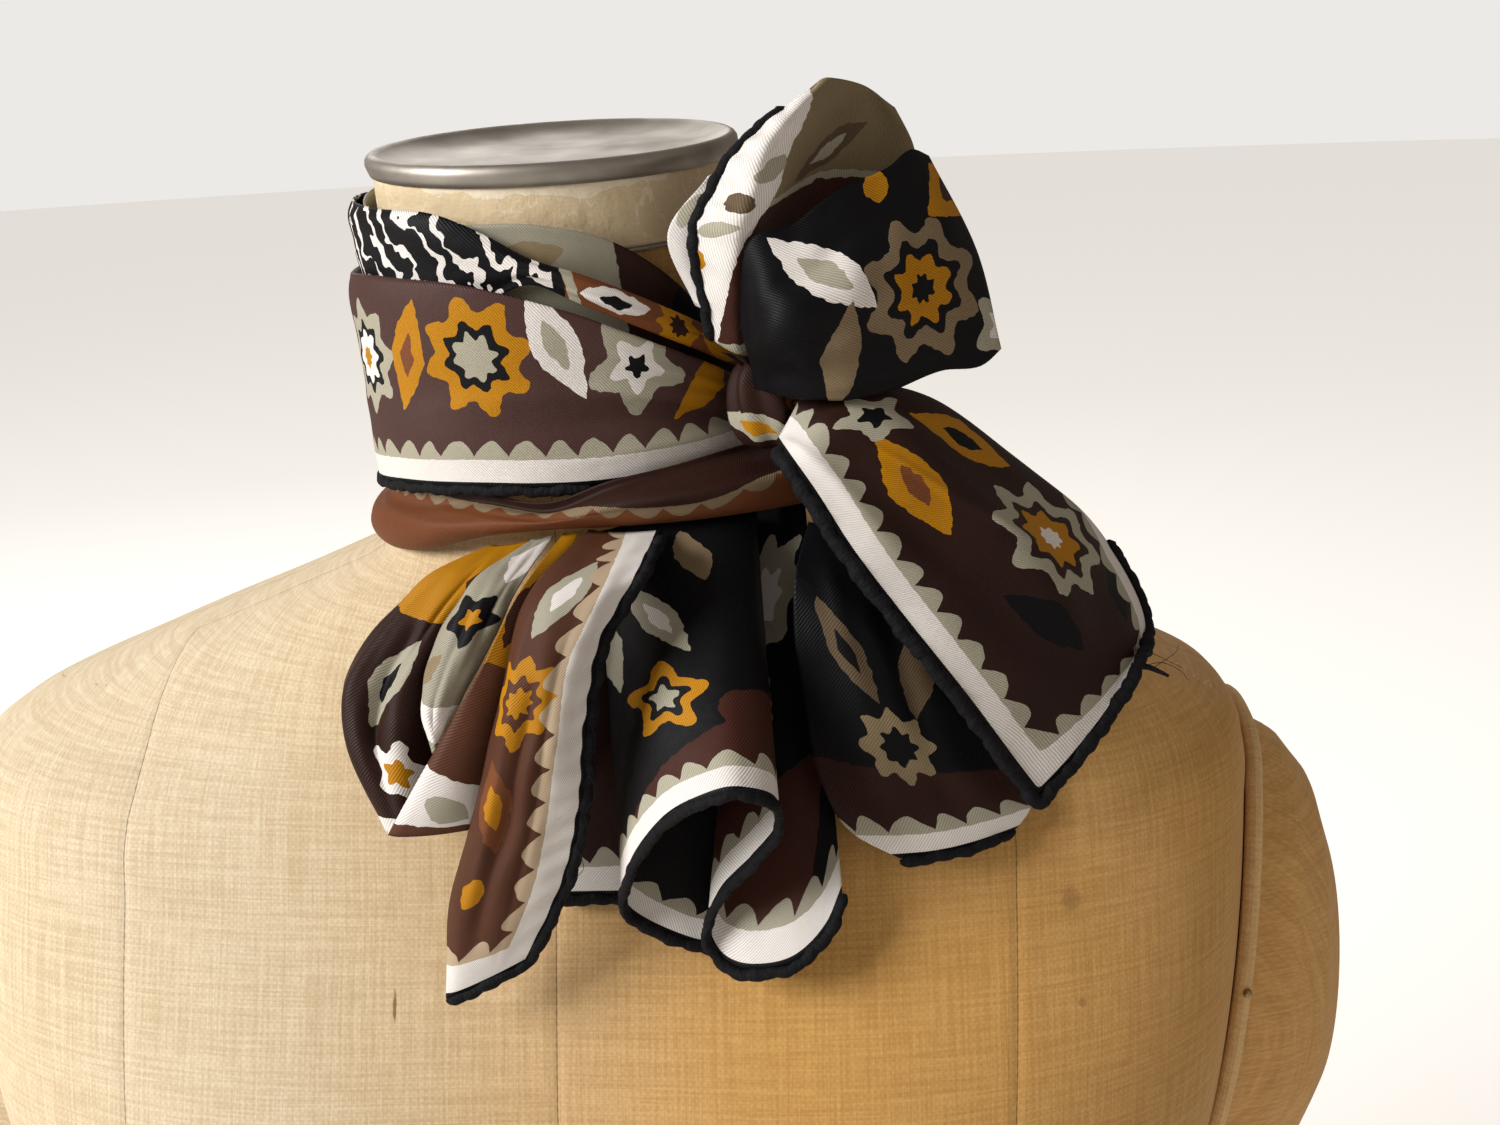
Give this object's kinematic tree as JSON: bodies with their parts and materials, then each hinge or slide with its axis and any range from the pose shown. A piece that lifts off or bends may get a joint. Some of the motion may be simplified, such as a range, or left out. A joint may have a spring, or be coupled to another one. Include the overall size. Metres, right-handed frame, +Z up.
{
  "type": "printed scarf on a dress form",
  "caption": "Printed silk scarf wound round the neck of a limbless linen dress form and tied at one side, one end standing up and the rest fanned over the chest.",
  "frame": {"origin": "centre of the flat underside of the dress form's base board, below the middle of the neck", "axes": "+Z up along the form, -Y to the form's front, +X to the wearer's left, which is the viewer's right"},
  "size_m": [0.472, 0.2425, 0.6933],
  "materials": {
    "linen": "aged plain-weave linen",
    "paper": "aged matte paper",
    "cap_metal": "worn satin",
    "board": "stained wood",
    "silk_brown": "silk twill sheen",
    "silk_black": "silk twill sheen",
    "silk_rust": "silk twill sheen",
    "silk_sage": "silk twill sheen",
    "silk_ochre": "silk twill sheen",
    "silk_white": "silk twill sheen"
  },
  "bodies": {
    "root": {"form_torso": "linen", "arm_cap_left": "linen", "arm_cap_right": "linen", "form_base": "board", "neck_band": "paper", "neck_cap": "cap_metal", "neck_wrap_inner": "silk_sage", "neck_wrap_upper": "silk_black", "neck_wrap_main": "silk_brown", "neck_wrap_lower": "silk_rust", "knot": "silk_ochre", "ear_front": "silk_black", "ear_back": "silk_sage", "ear_under": "silk_white", "tail_right": "silk_brown", "tail_right_under": "silk_black", "tail_loop": "silk_brown", "tail_loop_roll": "silk_sage", "tail_loop_front": "silk_ochre", "tail_point": "silk_rust", "tail_behind": "silk_white", "tail_centre": "silk_black", "hem_main": "silk_black", "hem_ear": "silk_black", "hem_right": "silk_black", "hem_right_under": "silk_black", "hem_point": "silk_black", "hem_behind": "silk_black", "hem_centre": "silk_black"}
  },
  "joints": []
}
